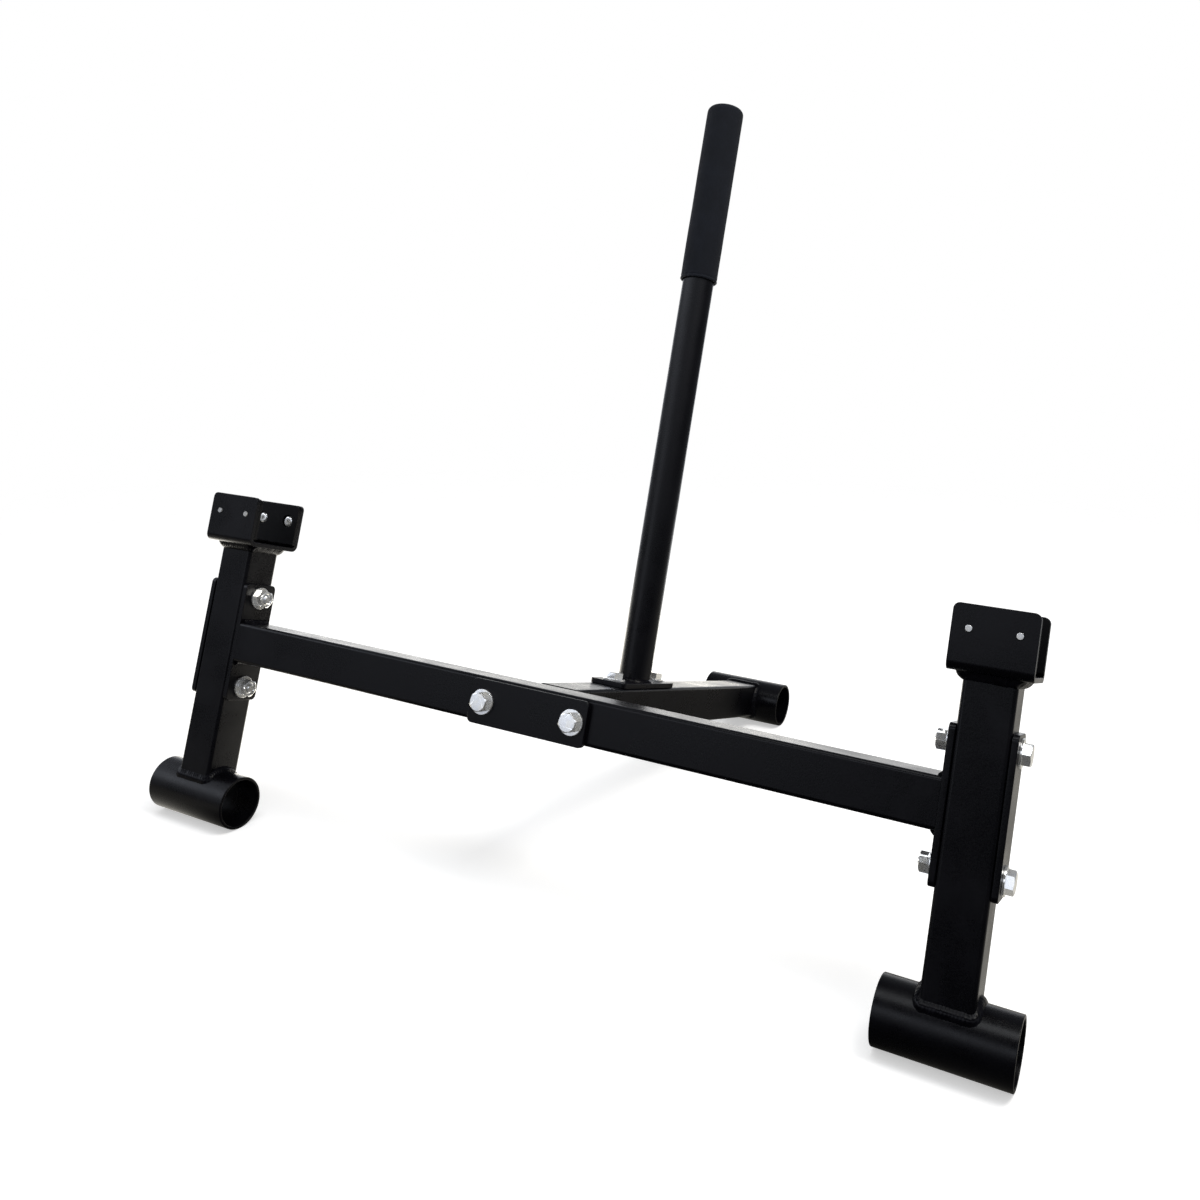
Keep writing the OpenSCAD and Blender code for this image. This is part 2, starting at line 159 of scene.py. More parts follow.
class JackStudio(bpy.types.PropertyGroup):
    """Floor, light and camera of the picture"""

    floor: colour("Floor", "Colour of the floor", (0.86, 0.86, 0.86))
    floor_radius: length("Floor radius", "Radius of the floor, which fades out within it", 2.6)
    floor_glow: share("Floor glow", "Light that the floor shows the camera", 0.45)
    room: number("Room light", "Strength of the room's light", 0.55)
    mirrored_room: share("Mirrored room", "Strength of the room in reflections", 0.22)
    front: share("Front", "Strength of the room in front in reflections", 0.02)
    left: share("Left", "Light at the left in reflections", 0.35)
    strip: number("Strip", "Low strip of light in front in reflections", 1.2)
    high: number("High light", "Band of light high in front in reflections", 3.0)
    mirrored_floor: number("Mirrored floor", "Strength of the pale floor in reflections", 1.7)
    shaded_floor: share("Shaded floor", "Strength of the shaded floor in reflections", 0.12)
    left_floor: share("Left floor", "Strength of the floor at the left in reflections", 0.40)
    mirrored_tint: colour("Floor tint", "Tint of the near floor in reflections", (1.0, 0.96, 0.87))
    room_tint: colour("Room tint", "Tint of the room in reflections", (0.84, 0.89, 1.0))
    top_power: number("Top lamp", "Power of the lamp overhead", 10, "POWER")
    side_power: number("Side lamp", "Power of the lamp at the right", 18, "POWER")
    camera_place: FloatVectorProperty(
        name="Camera place", description="Where the camera stands",
        default=(0.49825, -1.01816, 0.54519), subtype="XYZ", unit="LENGTH",
    )
    camera_turn: FloatVectorProperty(
        name="Camera turn", description="Turn of the camera about X, Y and Z",
        default=[math.radians(turn) for turn in (79.490, -1.625, 27.383)], subtype="EULER",
    )
    sensor_width: number("Sensor width", "Width of the camera's frame", 36, "CAMERA")
    focal_length: number("Focal length", "Focal length on that frame", 32.962, "CAMERA")
    shift: FloatVectorProperty(
        name="Shift", description="Shift of the frame", default=(-0.03468, -0.08430), size=2
    )


# Materials


class Value:
    """One output of a shader node. Arithmetic on it adds Math nodes."""

    def __init__(self, tree, socket):
        self.tree = tree
        self.socket = socket

    def __add__(self, other):
        return self.tree.maths("ADD", self, other)

    def __sub__(self, other):
        return self.tree.maths("SUBTRACT", self, other)

    def __rsub__(self, other):
        return self.tree.maths("SUBTRACT", other, self)

    def __mul__(self, other):
        return self.tree.maths("MULTIPLY", self, other)

    def __abs__(self):
        return self.tree.maths("ABSOLUTE", self)

    __radd__ = __add__
    __rmul__ = __mul__


class NodeTree:
    """A node tree that is being filled"""

    def __init__(self, tree):
        self.tree = tree
        self.tree.nodes.clear()

    def node(self, kind, settings=None, sockets=None, output=0):
        """Adds a node of a kind, with its settings and the values or links of its sockets."""
        made = self.tree.nodes.new(kind)
        for name, setting in (settings or {}).items():
            setattr(made, name, setting)
        for name, value in (sockets or {}).items():
            socket = made.inputs[name]
            if isinstance(value, Value):
                self.tree.links.new(value.socket, socket)
            elif socket.type == "RGBA":
                socket.default_value = (*value, 1)
            else:
                socket.default_value = value
        return Value(self, made.outputs[output]) if made.outputs else made

    def maths(self, operation, first, second=0.0):
        return self.node("ShaderNodeMath", {"operation": operation}, {0: first, 1: second})

    def mix(self, factor, first, second):
        return self.node(
            "ShaderNodeMix", {"data_type": "RGBA"}, {0: factor, 6: first, 7: second}, 2
        )

    def mix_shaders(self, factor, first, second):
        return self.node("ShaderNodeMixShader", {}, {0: factor, 1: first, 2: second})

    def spread(self, value, low, high, to_low=0.0, to_high=1.0):
        """Goes smoothly from to_low, where the value is low, to to_high, where it is high"""
        return self.node(
            "ShaderNodeMapRange", {"interpolation_type": "SMOOTHSTEP"},
            {0: value, 1: low, 2: high, 3: to_low, 4: to_high},
        )

    def along(self, vector, axis):
        """How far a place or a direction reaches along an axis"""
        return self.node(
            "ShaderNodeVectorMath", {"operation": "DOT_PRODUCT"},
            {0: vector, 1: Vector(axis).normalized()}, "Value",
        )

    def emission(self, shade, strength):
        return self.node("ShaderNodeEmission", {}, {"Color": shade, "Strength": strength})

    def ray(self, kind):
        """1 for a ray of this kind, and 0 for every other"""
        return self.node("ShaderNodeLightPath", output=f"Is {kind} Ray")


class Finish(NodeTree):
    """A material on Object coordinates"""

    def __init__(self, name):
        self.material = bpy.data.materials.new(name)
        self.material.use_nodes = True
        super().__init__(self.material.node_tree)
        self.place = self.node("ShaderNodeTexCoord", output="Object")

    def noise(self, scale, detail=2.0, distortion=0.0):
        return self.node(
            "ShaderNodeTexNoise", {},
            {"Vector": self.place, "Scale": scale, "Detail": detail, "Distortion": distortion},
        )

    def bump(self, height, strength, distance):
        return self.node(
            "ShaderNodeBump", {}, {"Height": height, "Strength": strength, "Distance": distance}
        )

    def close(self, shader):
        self.node("ShaderNodeOutputMaterial", {}, {"Surface": shader})
        return self.material

    def finish(self, sockets):
        return self.close(self.node("ShaderNodeBsdfPrincipled", {}, sockets))


def tinted(base, gain):
    return tuple(part * gain for part in base)


def powder_coat(finishes):
    """Satin powder coat: orange peel, fine grain, and cloudy changes of gloss and shade"""
    coat = Finish("satin_coat")
    base = finishes.coat
    peel = coat.noise(620, distortion=0.3)
    grain = coat.noise(3600)
    cloud = coat.noise(26, detail=3.0, distortion=0.4)
    speck = coat.spread(coat.noise(1500, detail=1.0), 0.66, 0.74)
    shade = coat.mix(coat.spread(cloud, 0.32, 0.70), tinted(base, 0.80), tinted(base, 1.22))
    shade = coat.mix(speck * 0.35, shade, tinted(base, 2.4))
    gloss = coat.spread(cloud, 0.25, 0.75, -0.05, 0.05) + coat.spread(peel, 0.3, 0.7, -0.03, 0.03)
    return coat.finish({
        "Base Color": shade,
        "Roughness": gloss + finishes.coat_roughness,
        "Specular IOR Level": 0.19,
        "Normal": coat.bump(peel + grain * 0.35, strength=0.32, distance=0.12 * MM),
    })


def bead_coat(finishes):
    """The same coat on a weld bead, with less shine and a little paler in clouds"""
    coat = Finish("bead_coat")
    base = finishes.coat
    peel = coat.noise(900, detail=3.0, distortion=0.6)
    cloud = coat.noise(120, detail=3.0, distortion=0.4)
    shade = coat.mix(coat.spread(cloud, 0.35, 0.70), tinted(base, 0.9), tinted(base, 1.6))
    return coat.finish({
        "Base Color": shade,
        "Roughness": coat.spread(cloud, 0.3, 0.7, -0.06, 0.06) + (finishes.coat_roughness - 0.04),
        "Specular IOR Level": 0.09,
        "Normal": coat.bump(peel, strength=0.18, distance=0.10 * MM),
    })


def zinc_plate(finishes):
    """Bright zinc plate: a fine crystal mottle and grain, and a faint warm and blue cast"""
    zinc = Finish("zinc_plate")
    base = finishes.zinc
    mottle = zinc.noise(700, detail=3.0, distortion=0.8)
    cast = zinc.noise(150, distortion=0.5)
    grain = zinc.noise(4200)
    cool = (base[0] * 0.98, base[1] * 0.99, min(1, base[2] * 1.01))
    warm = (min(1, base[0] * 1.01), base[1], base[2] * 0.97)
    shade = zinc.mix(zinc.spread(cast, 0.38, 0.62), cool, warm)
    shade = zinc.mix(zinc.spread(mottle, 0.40, 0.80) * 0.10, shade, tinted(base, 0.80))
    return zinc.finish({
        "Base Color": shade,
        "Metallic": 0.78,
        "Roughness": zinc.spread(mottle, 0.3, 0.7, -0.04, 0.05) + finishes.zinc_roughness,
        "Normal": zinc.bump(mottle + grain * 0.5, strength=0.06, distance=0.10 * MM),
    })


def liner_plastic(finishes):
    """Matte sheet plastic with a fine moulded grain"""
    sheet = Finish("pad_plastic")
    base = finishes.liner
    grain = sheet.noise(2400, detail=3.0)
    cloud = sheet.noise(60)
    shade = sheet.mix(sheet.spread(cloud, 0.3, 0.7), tinted(base, 0.85), tinted(base, 1.25))
    return sheet.finish({
        "Base Color": shade,
        "Roughness": sheet.spread(grain, 0.3, 0.7, 0.50, 0.62),
        "Specular IOR Level": 0.10,
        "Normal": sheet.bump(grain, strength=0.30, distance=0.08 * MM),
    })


def grip_foam(finishes):
    """Closed-cell foam: small pores in a matte skin, bluish black, with painted shade in each pore
    """
    foam = Finish("cell_foam")
    base = finishes.foam
    cells = foam.node(
        "ShaderNodeTexVoronoi", {"feature": "F1"}, {"Vector": foam.place, "Scale": 1300.0},
        "Distance",
    )
    skin = foam.noise(2600, detail=3.0)
    cloud = foam.noise(45, detail=3.0, distortion=0.3)
    pore_and_shade = foam.spread(cells, 0.10, 0.45)
    shade = foam.mix(foam.spread(cloud, 0.30, 0.70), tinted(base, 0.86), tinted(base, 1.18))
    # Painted shade: each pore is darker towards its middle, as if shade filled its pit.
    shade = foam.mix(pore_and_shade, tinted(base, 0.55), shade)
    return foam.finish({
        "Base Color": shade,
        "Roughness": foam.spread(skin, 0.3, 0.7, 0.80, 0.94),
        "Specular IOR Level": 0.20,
        "Sheen Weight": 0.03,
        "Sheen Roughness": 0.5,
        "Normal": foam.bump(pore_and_shade + skin * 0.6, strength=0.40, distance=0.25 * MM),
    })


MAKERS = {
    "satin_coat": powder_coat,
    "bead_coat": bead_coat,
    "zinc_plate": zinc_plate,
    "pad_plastic": liner_plastic,
    "cell_foam": grip_foam,
}


def material(context, name):
    """The named material, made when a piece first asks for it"""
    return bpy.data.materials.get(name) or MAKERS[name](context.scene.jack_finishes)


# Modelling


def deselect_all():
    bpy.ops.object.select_all(action="DESELECT")


def select_only(*objects):
    deselect_all()
    for each in objects:
        each.select_set(True)
    bpy.context.view_layer.objects.active = objects[0]


def edit(obj):
    """Opens a mesh in edit mode with all of it selected."""
    select_only(obj)
    bpy.ops.object.mode_set(mode="EDIT")
    bpy.ops.mesh.select_all(action="SELECT")


def to_object_mode():
    bpy.ops.object.mode_set(mode="OBJECT")


def new_object(name, mesh):
    made = bpy.data.objects.new(name, mesh)
    bpy.context.scene.collection.objects.link(made)
    return made


def mesh_object(name, points, edges, faces):
    """An object whose mesh has the given points, edges and faces"""
    mesh = bpy.data.meshes.new(name)
    mesh.from_pydata(points, edges, faces)
    return new_object(name, mesh)


def set_in_place(obj, matrix):
    """Moves a piece that was drawn at the origin, and leaves its place in its mesh."""
    obj.matrix_world = matrix @ obj.matrix_world
    select_only(obj)
    bpy.ops.object.transform_apply(location=True, rotation=True, scale=True)


def apply_modifiers(obj):
    select_only(obj)
    for modifier in list(obj.modifiers):
        bpy.ops.object.modifier_apply(modifier=modifier.name)


def boolean(obj, cutter, operation):
    """Cuts obj with cutter, or keeps what both share, and removes the cutter."""
    modifier = obj.modifiers.new("Cut", "BOOLEAN")
    modifier.operation = operation
    modifier.object = cutter
    modifier.solver = "EXACT"
    apply_modifiers(obj)
    bpy.data.objects.remove(cutter)


def join(objects, name):
    select_only(*objects)
    bpy.ops.object.join()
    objects[0].name = name
    return objects[0]


def copy_at(obj, matrix):
    """A copy with its own mesh, set in its place"""
    copy = new_object(obj.name, obj.data.copy())
    set_in_place(copy, matrix)
    return copy


def face_outward(obj):
    edit(obj)
    bpy.ops.mesh.normals_make_consistent(inside=False)
    to_object_mode()


def smooth(obj, angle):
    select_only(obj)
    bpy.ops.object.shade_smooth_by_angle(angle=math.radians(angle))


def bevel(obj, width, corner):
    """Rounds every edge that is sharper than corner degrees."""
    edge = obj.modifiers.new("Edge", "BEVEL")
    edge.limit_method = "ANGLE"
    edge.angle_limit = math.radians(corner)
    edge.width = width
    edge.segments = 2
    apply_modifiers(obj)


def shade_flats(obj, angle, weight):
    """Shades the roundings smooth, and the flats between them flat."""
    smooth(obj, angle)
    flats = obj.modifiers.new("Flats", "WEIGHTED_NORMAL")
    flats.keep_sharp = True
    flats.weight = weight
    apply_modifiers(obj)


def soften(obj, width, corner=32):
    bevel(obj, width, corner)
    shade_flats(obj, angle=45, weight=90)


def copy_of_node(node, name):
    """A copy of a CAD node's loose triangles, merged to whole faces"""
    copy = new_object(name, frame["nodes"][node].data.copy())
    copy.data.materials.clear()
    edit(copy)
    bpy.ops.mesh.remove_doubles(threshold=MERGE)
    bpy.ops.mesh.dissolve_limited(angle_limit=math.radians(0.4))
    to_object_mode()
    return copy


def hand_over(context, obj, node, material_name):
    """Gives a piece its finish and its body, and lets it stand for its CAD node."""
    low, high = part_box(node)
    places = [vertex.co for vertex in obj.data.vertices]
    for axis in range(3):
        near = min(place[axis] for place in places) - low[axis]
        far = max(place[axis] for place in places) - high[axis]
        if max(abs(near), abs(far)) > NODE_FIT:
            raise RuntimeError(f"{obj.name} doesn't lie where {node} does: {near:.4f}, {far:.4f}")
    obj.data.materials.clear()
    obj.data.materials.append(material(context, material_name))
    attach(obj, BODY)
    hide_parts(node)


def dress(context, node, name, width, material_name="satin_coat", slot="powder_coat", **more):
    """Stands a softened copy in for a rigid CAD node."""
    piece = copy_of_node(node, name)
    soften(piece, width, **more)
    hand_over(context, piece, node, material_name)


# Places in the jack's own frame


def joint_places(sizes):
    """The place and the clamped thickness of each bolted joint. Its bolt heads are at +Z and
    its two bolts lie side by side along X."""
    two_plates = sizes.tube_width + 2 * sizes.plate_thickness
    one_plate = sizes.tube_width + sizes.plate_thickness
    handle_z = BEAM_Z + sizes.tube_width / 2 + sizes.plate_thickness - one_plate / 2
    joints = {
        "centre": ((0, 0, BEAM_Z - sizes.centre_drop), 1, "X", two_plates),
        "handle": ((0, sizes.handle_reach, handle_z), 1, "Z", one_plate),
        "left_upright": ((-UPRIGHT_X, 0, BEAM_Z), -1, "Y", two_plates),
        "right_upright": ((UPRIGHT_X, 0, BEAM_Z), 1, "Y", two_plates),
    }
    return {
        joint: (Matrix.Translation(place) @ Matrix.Rotation(turn * math.pi / 2, 4, axis), clamp)
        for joint, (place, turn, axis, clamp) in joints.items()
    }


def tube_outline(sizes, step):
    """Points round the outside of the square tube, anticlockwise and about step apart, each
    with its outward direction"""
    half = sizes.tube_width / 2
    corner = sizes.tube_corner
    flat = sizes.tube_width - 2 * corner
    straight = max(2, round(flat / step))
    arc = max(6, round(2 * corner * math.pi / 2 / step))
    outline = []
    for turn in range(4):
        facing = Matrix.Rotation(turn * math.pi / 2, 3, "Z")
        for index in range(straight):
            place = Vector((half, -flat / 2 + flat * index / straight, 0))
            outline.append((facing @ place, facing @ Vector((1, 0, 0))))
        for index in range(arc):
            angle = math.pi / 2 * index / arc
            outward = Vector((math.cos(angle), math.sin(angle), 0))
            place = Vector((half - corner, half - corner, 0)) + outward * corner
            outline.append((facing @ place, facing @ outward))
    return outline


def ring_outline(radius, step):
    """Points round a tube, anticlockwise and about step apart, with their outward directions"""
    count = round(2 * math.pi * radius / step)
    outline = []
    for index in range(count):
        angle = 2 * math.pi * index / count
        outward = Vector((math.cos(angle), math.sin(angle), 0))
        outline.append((outward * radius, outward))
    return outline


# Weld beads

# Faces across a bead, and stations along it for each ripple
BEAD_ARC = 8
RIPPLE_STEPS = 5
# How far a ripple bows forward in its middle, as a share of a ripple
BEAD_BOW = 0.9
# 0 for a bead with a flat face, 1 for one that is as round as its legs allow
BEAD_CROWN = 0.55
# How far the grooves cut in and the ripples differ, as shares of the leg
BEAD_GROOVE = 0.10
BEAD_SWELL = 0.04
# How far the bead's root lies inside the steel
BEAD_ROOT = 0.15 * MM


def lay_bead(name, stations, closed, ripple, seed):
    """Lays a bead through stations of a corner and the two toes of the fillet there. It
    swells from ripple to ripple, and each ripple bows forward in its middle."""
    random.seed(seed)
    travelled = [0.0]
    for (corner, _, _), (last, _, _) in zip(stations[1:], stations):
        travelled.append(travelled[-1] + (corner - last).length)
    whole = travelled[-1] + ((stations[0][0] - stations[-1][0]).length if closed else 0)
    count = max(1, round(whole / ripple))
    swells = [random.uniform(1 - BEAD_SWELL, 1 + BEAD_SWELL) for _ in range(count)]
    points = []
    for (corner, toe, top), way in zip(stations, travelled):
        first, second = toe - corner, top - corner
        opening = first.angle(second)
        outward, upward = first.normalized(), second.normalized()
        root = (outward + upward) * BEAD_ROOT
        points.append(corner - 2 * root)
        for index in range(BEAD_ARC + 1):
            part = index / BEAD_ARC
            # The ripples behind this point, and its place in its own, from -1 to 1
            turn = way / whole * count - BEAD_BOW * (1 - (2 * part - 1) ** 2)
            across = 2 * (turn % 1) - 1
            # A flat face's distance from the corner, as a share of the leg
            chord = math.cos(opening / 2) / math.cos(opening * (part - 0.5))
            reach = first.length * (1 - part) + second.length * part
            reach *= (1 - BEAD_CROWN) * chord + BEAD_CROWN
            reach *= swells[math.floor(turn) % count]
            reach *= 1 - BEAD_GROOVE + BEAD_GROOVE * math.sqrt(1 - across * across)
            points.append(corner - root + outward.slerp(upward, part) * reach)
    ring = BEAD_ARC + 2
    faces = []
    for station in range(len(stations) if closed else len(stations) - 1):
        here, there = station * ring, (station + 1) % len(stations) * ring
        for index in range(ring):
            after = (index + 1) % ring
            faces.append((here + index, here + after, there + after, there + index))
    if not closed:
        faces.append(tuple(range(ring)))
        faces.append(tuple(range(len(points) - ring, len(points))))
    bead = mesh_object(name, points, [], faces)
    face_outward(bead)
    smooth(bead, angle=60)
    return bead


def level_stations(outline, leg):
    """Stations of a level bead round the outside of an outline"""
    return [
        (place, place + outward * leg, place + Vector((0, 0, leg))) for place, outward in outline
    ]


def saddle_stations(outline, leg):
    """Stations of a bead round a tube that stands on a foot, with its toe on the foot"""
    stations = []
    for place, outward in outline:
        # The toe is the leg's length away along the foot's round surface.
        around = math.asin(place.y / FOOT_RADIUS) + outward.y * leg / FOOT_RADIUS
        toe = Vector((place.x + outward.x * leg, FOOT_RADIUS * math.sin(around),
                      FOOT_RADIUS * math.cos(around)))
        corner = Vector((place.x, place.y, math.sqrt(FOOT_RADIUS ** 2 - place.y ** 2)))
        stations.append((corner, toe, corner + Vector((0, 0, leg))))
    return stations


def straight_stations(run, step, leg):
    """Stations of a straight bead along Y, between a level and an upright face"""
    count = max(2, round(run / step))
    line = [Vector((0, run * (index / count - 0.5), 0)) for index in range(count + 1)]
    return level_stations([(place, Vector((1, 0, 0))) for place in line], leg)


class JACK_OT_weld_beads(bpy.types.Operator):
    """Lays the rippled beads under the cradles, on the feet, the end plates and the handle"""

    bl_idname = "jack.weld_beads"
    bl_label = "Weld beads"

    def execute(self, context):
        sizes = context.scene.jack_sizes
        half = sizes.tube_width / 2
        plate_face = half + sizes.plate_thickness
        sides = {"left": -UPRIGHT_X, "right": UPRIGHT_X}
        step = sizes.ripple / RIPPLE_STEPS

        # Round the top of each upright, under its cradle: the profile hangs down.
        outline = tube_outline(sizes, step)
        for seed, (side, x) in enumerate(sides.items(), 10):
            place = Matrix.Translation((x, 0, sizes.upright_height))
            self.lay_round(context, f"{side}_cradle", level_stations(outline, sizes.cradle_leg),
                           place @ Matrix.Rotation(math.pi, 4, "X"), seed)

        # Round each tube that stands on a foot, where the two surfaces meet.
        feet = {side: Matrix.Translation((x, 0, 0)) for side, x in sides.items()}
        feet["rear"] = (Matrix.Translation((0, REAR_REACH, BEAM_Z))
                        @ Matrix.Rotation(math.pi / 2, 4, "X"))
        for seed, (foot, place) in enumerate(feet.items(), 20):
            self.lay_round(context, f"{foot}_foot", saddle_stations(outline, sizes.foot_leg),
                           place, seed)

        # Over and under the crossbeam, with a leg along it and a leg up its end plate
        run = sizes.tube_width - 2 * sizes.tube_corner
        for seed, (side, x) in zip((30, 32), sides.items()):
            inward = -1 if x > 0 else 1
            self.lay_pair(context, f"{side}_beam_end", run, [
                (over, (x + inward * plate_face, 0, BEAM_Z + over * half),
                 ((inward, 0, 0), (0, 1, 0), (0, 0, over))) for over in (1, -1)
            ], seed)

        # Up both sides of the rear beam, with a leg out over its end plate and a leg along it
        plate_margin = 10 * MM
        self.lay_pair(context, "rear_beam_end", sizes.tube_width - plate_margin, [
            (side, (side * half, plate_face, BEAM_Z - sizes.centre_drop),
             ((side, 0, 0), (0, 0, 1), (0, 1, 0))) for side in (1, -1)
        ], 40)

        # Round the foot of the handle tube
        ring = ring_outline(sizes.handle_diameter / 2, step)
        seat = Matrix.Translation((0, sizes.handle_reach, BEAM_Z + plate_face))
        self.lay_round(context, "handle", level_stations(ring, sizes.handle_leg), seat, 50)
        return {"FINISHED"}

    @staticmethod
    def lay_round(context, joint, stations, place, seed):
        """Lays the closed bead of a joint."""
        ripple = context.scene.jack_sizes.ripple
        bead = lay_bead(f"{joint}_bead", stations, True, ripple, seed)
        set_in_place(bead, STANDING @ place)
        hand_over(context, bead, f"{joint}_weld", "bead_coat")

    @staticmethod
    def lay_pair(context, joint, run, places, seed):
        """Lays the two straight beads of a joint and joins them. Each has its side, its place
        and the rows of the matrix that turns or mirrors it."""
        sizes = context.scene.jack_sizes
        stations = straight_stations(run, sizes.ripple / RIPPLE_STEPS, sizes.plate_leg)
        beads = []
        for side, place, axes in places:
            bead = lay_bead("bead", stations, False, sizes.ripple, seed + side)
            set_in_place(bead, STANDING @ Matrix.Translation(place) @ Matrix(axes).to_4x4())
            beads.append(bead)
        bead = join(beads, f"{joint}_bead")
        face_outward(bead)
        hand_over(context, bead, f"{joint}_weld", "bead_coat")


# Steel


class JACK_OT_frame_tubes(bpy.types.Operator):
    """Softens the crossbeam, the rear beam, the uprights, the feet and the handle tube"""

    bl_idname = "jack.frame_tubes"
    bl_label = "Tubes and feet"

    def execute(self, context):
        edge = context.scene.jack_sizes.steel_edge
        fine_edge = 0.6 * edge
        for node in ("crossbeam", "rear_beam", "left_upright", "right_upright"):
            dress(context, node, node + "_tube", fine_edge)
        for node in ("left_foot_tube", "right_foot_tube", "rear_foot_tube"):
            dress(context, node, node.replace("_tube", "_pipe"), edge)
        dress(context, "handle_tube", "handle_pipe", fine_edge)
        return {"FINISHED"}


class JACK_OT_joint_plates(bpy.types.Operator):
    """Softens the edges of the seven joint plates"""

    bl_idname = "jack.joint_plates"
    bl_label = "Joint plates"

    def execute(self, context):
        edge = context.scene.jack_sizes.steel_edge
        for node in ("front_clamp_plate", "rear_beam_end_plate", "handle_base_plate",
                     "left_beam_end_plate", "left_outer_plate",
                     "right_beam_end_plate", "right_outer_plate"):
            dress(context, node, node + "_steel", edge)
        return {"FINISHED"}


class JACK_OT_cradles(bpy.types.Operator):
    """Softens the cradle brackets, their liner pads and the screws that hold them"""

    bl_idname = "jack.cradles"
    bl_label = "Cradles"

    def execute(self, context):
        sizes = context.scene.jack_sizes
        for side in ("left", "right"):
            dress(context, f"{side}_cradle_bracket", f"{side}_cradle_steel", sizes.steel_edge)
            for row in ("front", "rear"):
                dress(context, f"{side}_cradle_{row}_liner", f"{side}_{row}_liner_pad",
                      sizes.steel_edge * 0.8, "pad_plastic", "liner_plastic")
            dress(context, f"{side}_liner_screws", f"{side}_button_screws",
                  sizes.fastener_edge * 0.8, "zinc_plate", "zinc", corner=50)
        return {"FINISHED"}


# Bolts

# A chamfer of 30 degrees: how far it runs in for each step down
CHAMFER_SLOPE = 1 / math.tan(math.radians(30))
# Sides of a shank or a bore, and steps in a turn of the thread
SHANK_SIDES = 48
THREAD_STEPS = 28


def turned(low_radius, high_radius, low, high, sides=96):
    """A cone or cylinder about Z, or a prism when it has few sides"""
    deselect_all()
    bpy.ops.mesh.primitive_cone_add(
        vertices=sides, radius1=low_radius, radius2=high_radius, depth=high - low,
        location=(0, 0, (low + high) / 2),
    )
    bpy.ops.object.transform_apply(location=True)
    return bpy.context.active_object


def hexagon(sizes, height):
    """A hexagonal prism that stands on Z = 0, with the corners of its top taken off"""
    corner = sizes.hex_flats / 2 / math.cos(math.pi / 6)
    prism = turned(corner, corner, 0, height, sides=6)
    spare = 2 * MM
    face = sizes.hex_flats / 2 * sizes.hex_face
    boolean(prism, turned(face + (height + spare) * CHAMFER_SLOPE, face, -spare, height),
            "INTERSECT")
    return prism


def select_bottom(obj):
    """Selects the flat bottom of a turned piece in edit mode."""
    edit(obj)
    bpy.ops.mesh.select_all(action="DESELECT")
    to_object_mode()
    for face in obj.data.polygons:
        face.select = face.normal.z < -0.99
    bpy.ops.object.mode_set(mode="EDIT")


def thread(sizes, run):
    """A real thread of the given run, its end at Z = 0 and its turns upward, closed and capped"""
    crest = sizes.bolt_diameter / 2
    root = crest - sizes.thread_depth
    pitch = sizes.thread_pitch
    flat = pitch / 8
    tooth = mesh_object(
        "tooth",
        [(root, 0, 0), (root, 0, flat), (crest, 0, pitch / 2 - flat / 2),
         (crest, 0, pitch / 2 + flat / 2), (root, 0, pitch - flat / 4), (root, 0, pitch)],
        [(0, 1), (1, 2), (2, 3), (3, 4), (4, 5)], [],
    )
    screw = tooth.modifiers.new("Turns", "SCREW")
    screw.axis = "Z"
    screw.screw_offset = pitch
    screw.iterations = math.ceil(run / pitch) + 2
    screw.steps = screw.render_steps = THREAD_STEPS
    apply_modifiers(tooth)
    edit(tooth)
    bpy.ops.mesh.remove_doubles(threshold=MERGE)
    # Only above its first turn is the thread closed all round.
    start = 1.2 * pitch
    for height, lower in ((start, True), (start + run, False)):
        bpy.ops.mesh.select_all(action="SELECT")
        bpy.ops.mesh.bisect(
            plane_co=(0, 0, height), plane_no=(0, 0, 1), use_fill=True,
            clear_inner=lower, clear_outer=not lower, threshold=0.0001 * MM,
        )
    to_object_mode()
    face_outward(tooth)
    set_in_place(tooth, Matrix.Translation((0, 0, -start)))
    return tooth


def hex_bolt(sizes, clamp):
    """A hexagon bolt, its head's seat at Z = 0, its shank downward and its end threaded"""
    crest = sizes.bolt_diameter / 2
    root = crest - sizes.thread_depth
    total = clamp + 2 * sizes.washer_thickness + sizes.nut_height + sizes.bolt_tip
    above_nut = 6 * MM
    threaded = sizes.nut_height + sizes.bolt_tip + above_nut

    # A ring of flat faces round the seat keeps the shading of its edge off its middle.
    head = hexagon(sizes, sizes.head_height)
    select_bottom(head)
    bpy.ops.mesh.inset(thickness=0.5 * MM, depth=0)
    to_object_mode()
    bevel(head, 0.3 * MM, corner=20)

    # The shank starts inside the head, and runs out to the thread's root in a short taper.
    inside_head = 0.5 * MM
    taper = 0.8 * MM
    shank = turned(crest, crest, threaded - total, inside_head, SHANK_SIDES)
    select_bottom(shank)
    bpy.ops.mesh.extrude_region_move(TRANSFORM_OT_translate={"value": (0, 0, -taper)})
    bpy.ops.transform.resize(value=(root / crest, root / crest, 1),
                             center_override=(0, 0, threaded - total))
    to_object_mode()

    # The thread ends in the taper, and a cone turns its other end down.
    screw = thread(sizes, threaded - taper / 4)
    set_in_place(screw, Matrix.Translation((0, 0, -total)))
    end = crest - sizes.bolt_chamfer
    reach = threaded + 4 * MM
    boolean(screw, turned(end, end + reach, -total, -total + reach), "INTERSECT")

    bolt = join([head, shank, screw], "hex_bolt")
    shade_flats(bolt, angle=38, weight=50)
    return bolt


